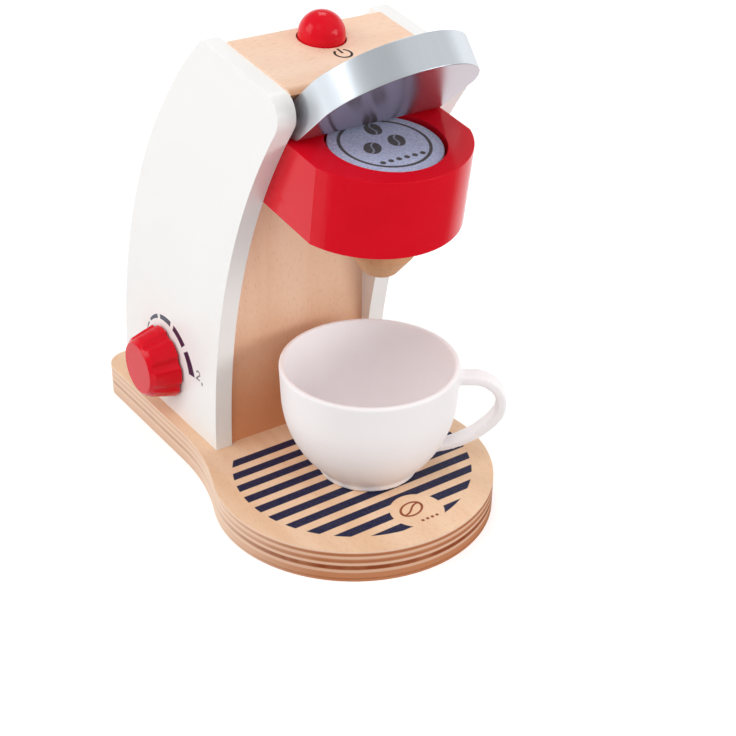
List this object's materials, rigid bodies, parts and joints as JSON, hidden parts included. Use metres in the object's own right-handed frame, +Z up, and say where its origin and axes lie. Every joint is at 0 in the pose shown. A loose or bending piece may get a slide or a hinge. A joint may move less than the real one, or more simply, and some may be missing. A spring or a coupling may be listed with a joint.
{
  "type": "toy coffee maker",
  "caption": "Wooden toy coffee maker with a hinged lid over a felt-faced coffee pod, a press button, a turning dial and a cup on its tray.",
  "frame": {"origin": "middle of the base board's underside, on the machine's centre line", "axes": "+X to the machine's right when seen from its front, +Y to the rear, +Z up"},
  "size_m": [0.122, 0.206, 0.2189],
  "materials": {
    "beech": "clear satin lacquer over beech plywood and solid beech",
    "beech_dark": "clear satin lacquer over darker beech",
    "white_paint": "smooth satin white paint on wood",
    "red_paint": "glossy red paint on wood",
    "silver_paint": "glossy silver paint on wood",
    "pod_print": "printed blue-grey felt",
    "dark_felt": "dark grey felt",
    "cup_white": "smooth matte white",
    "steel": "bright zinc-plated steel"
  },
  "bodies": {
    "machine": {"base_board": "beech", "left_panel": "white_paint", "right_panel": "white_paint", "front_board": "beech", "back_board": "beech", "top_board": "beech", "button_block": "beech_dark", "head_block": "red_paint", "spout": "beech_dark", "hinge_pins": "steel", "button_spring": "steel", "head_dowels": "beech_dark", "top_dowels": "beech_dark", "board_dowels": "beech_dark", "base_screws": "steel"},
    "lid": {"lid": "silver_paint"},
    "button": {"power_button": "red_paint"},
    "knob": {"dial_knob": "red_paint", "knob_shaft": "beech_dark", "knob_washer": "dark_felt", "knob_collar": "beech_dark"},
    "pod": {"coffee_pod": "beech", "pod_felt": "pod_print"},
    "cup": {"cup": "cup_white"}
  },
  "joints": [
    {"name": "lid_hinge", "type": "hinge", "parent": "machine", "child": "lid", "pos_m": [0, -0.0476, 0.18102], "axis": [-1, 0, 0], "range_deg": [-48, 0]},
    {"name": "button_press", "type": "slide", "parent": "machine", "child": "button", "axis": [0, 0.1392, -0.9903], "range_m": [0, 0.004], "stiffness_N_per_m": 600, "springref_m": -0.004, "deforming": ["button_spring"]},
    {"name": "knob_turn", "type": "hinge", "parent": "machine", "child": "knob", "pos_m": [-0.0431, 0.0455, 0.0397], "axis": [-1, 0, 0], "continuous": true},
    {"name": "pod_turn", "type": "hinge", "parent": "machine", "child": "pod", "pos_m": [0, -0.0614, 0.17211], "axis": [0, -0.1392, 0.9903], "continuous": true},
    {"name": "cup_slide", "type": "slide", "parent": "machine", "child": "cup", "axis": [0, -0.9781, 0.2079], "range_m": [0, 0.13]}
  ]
}
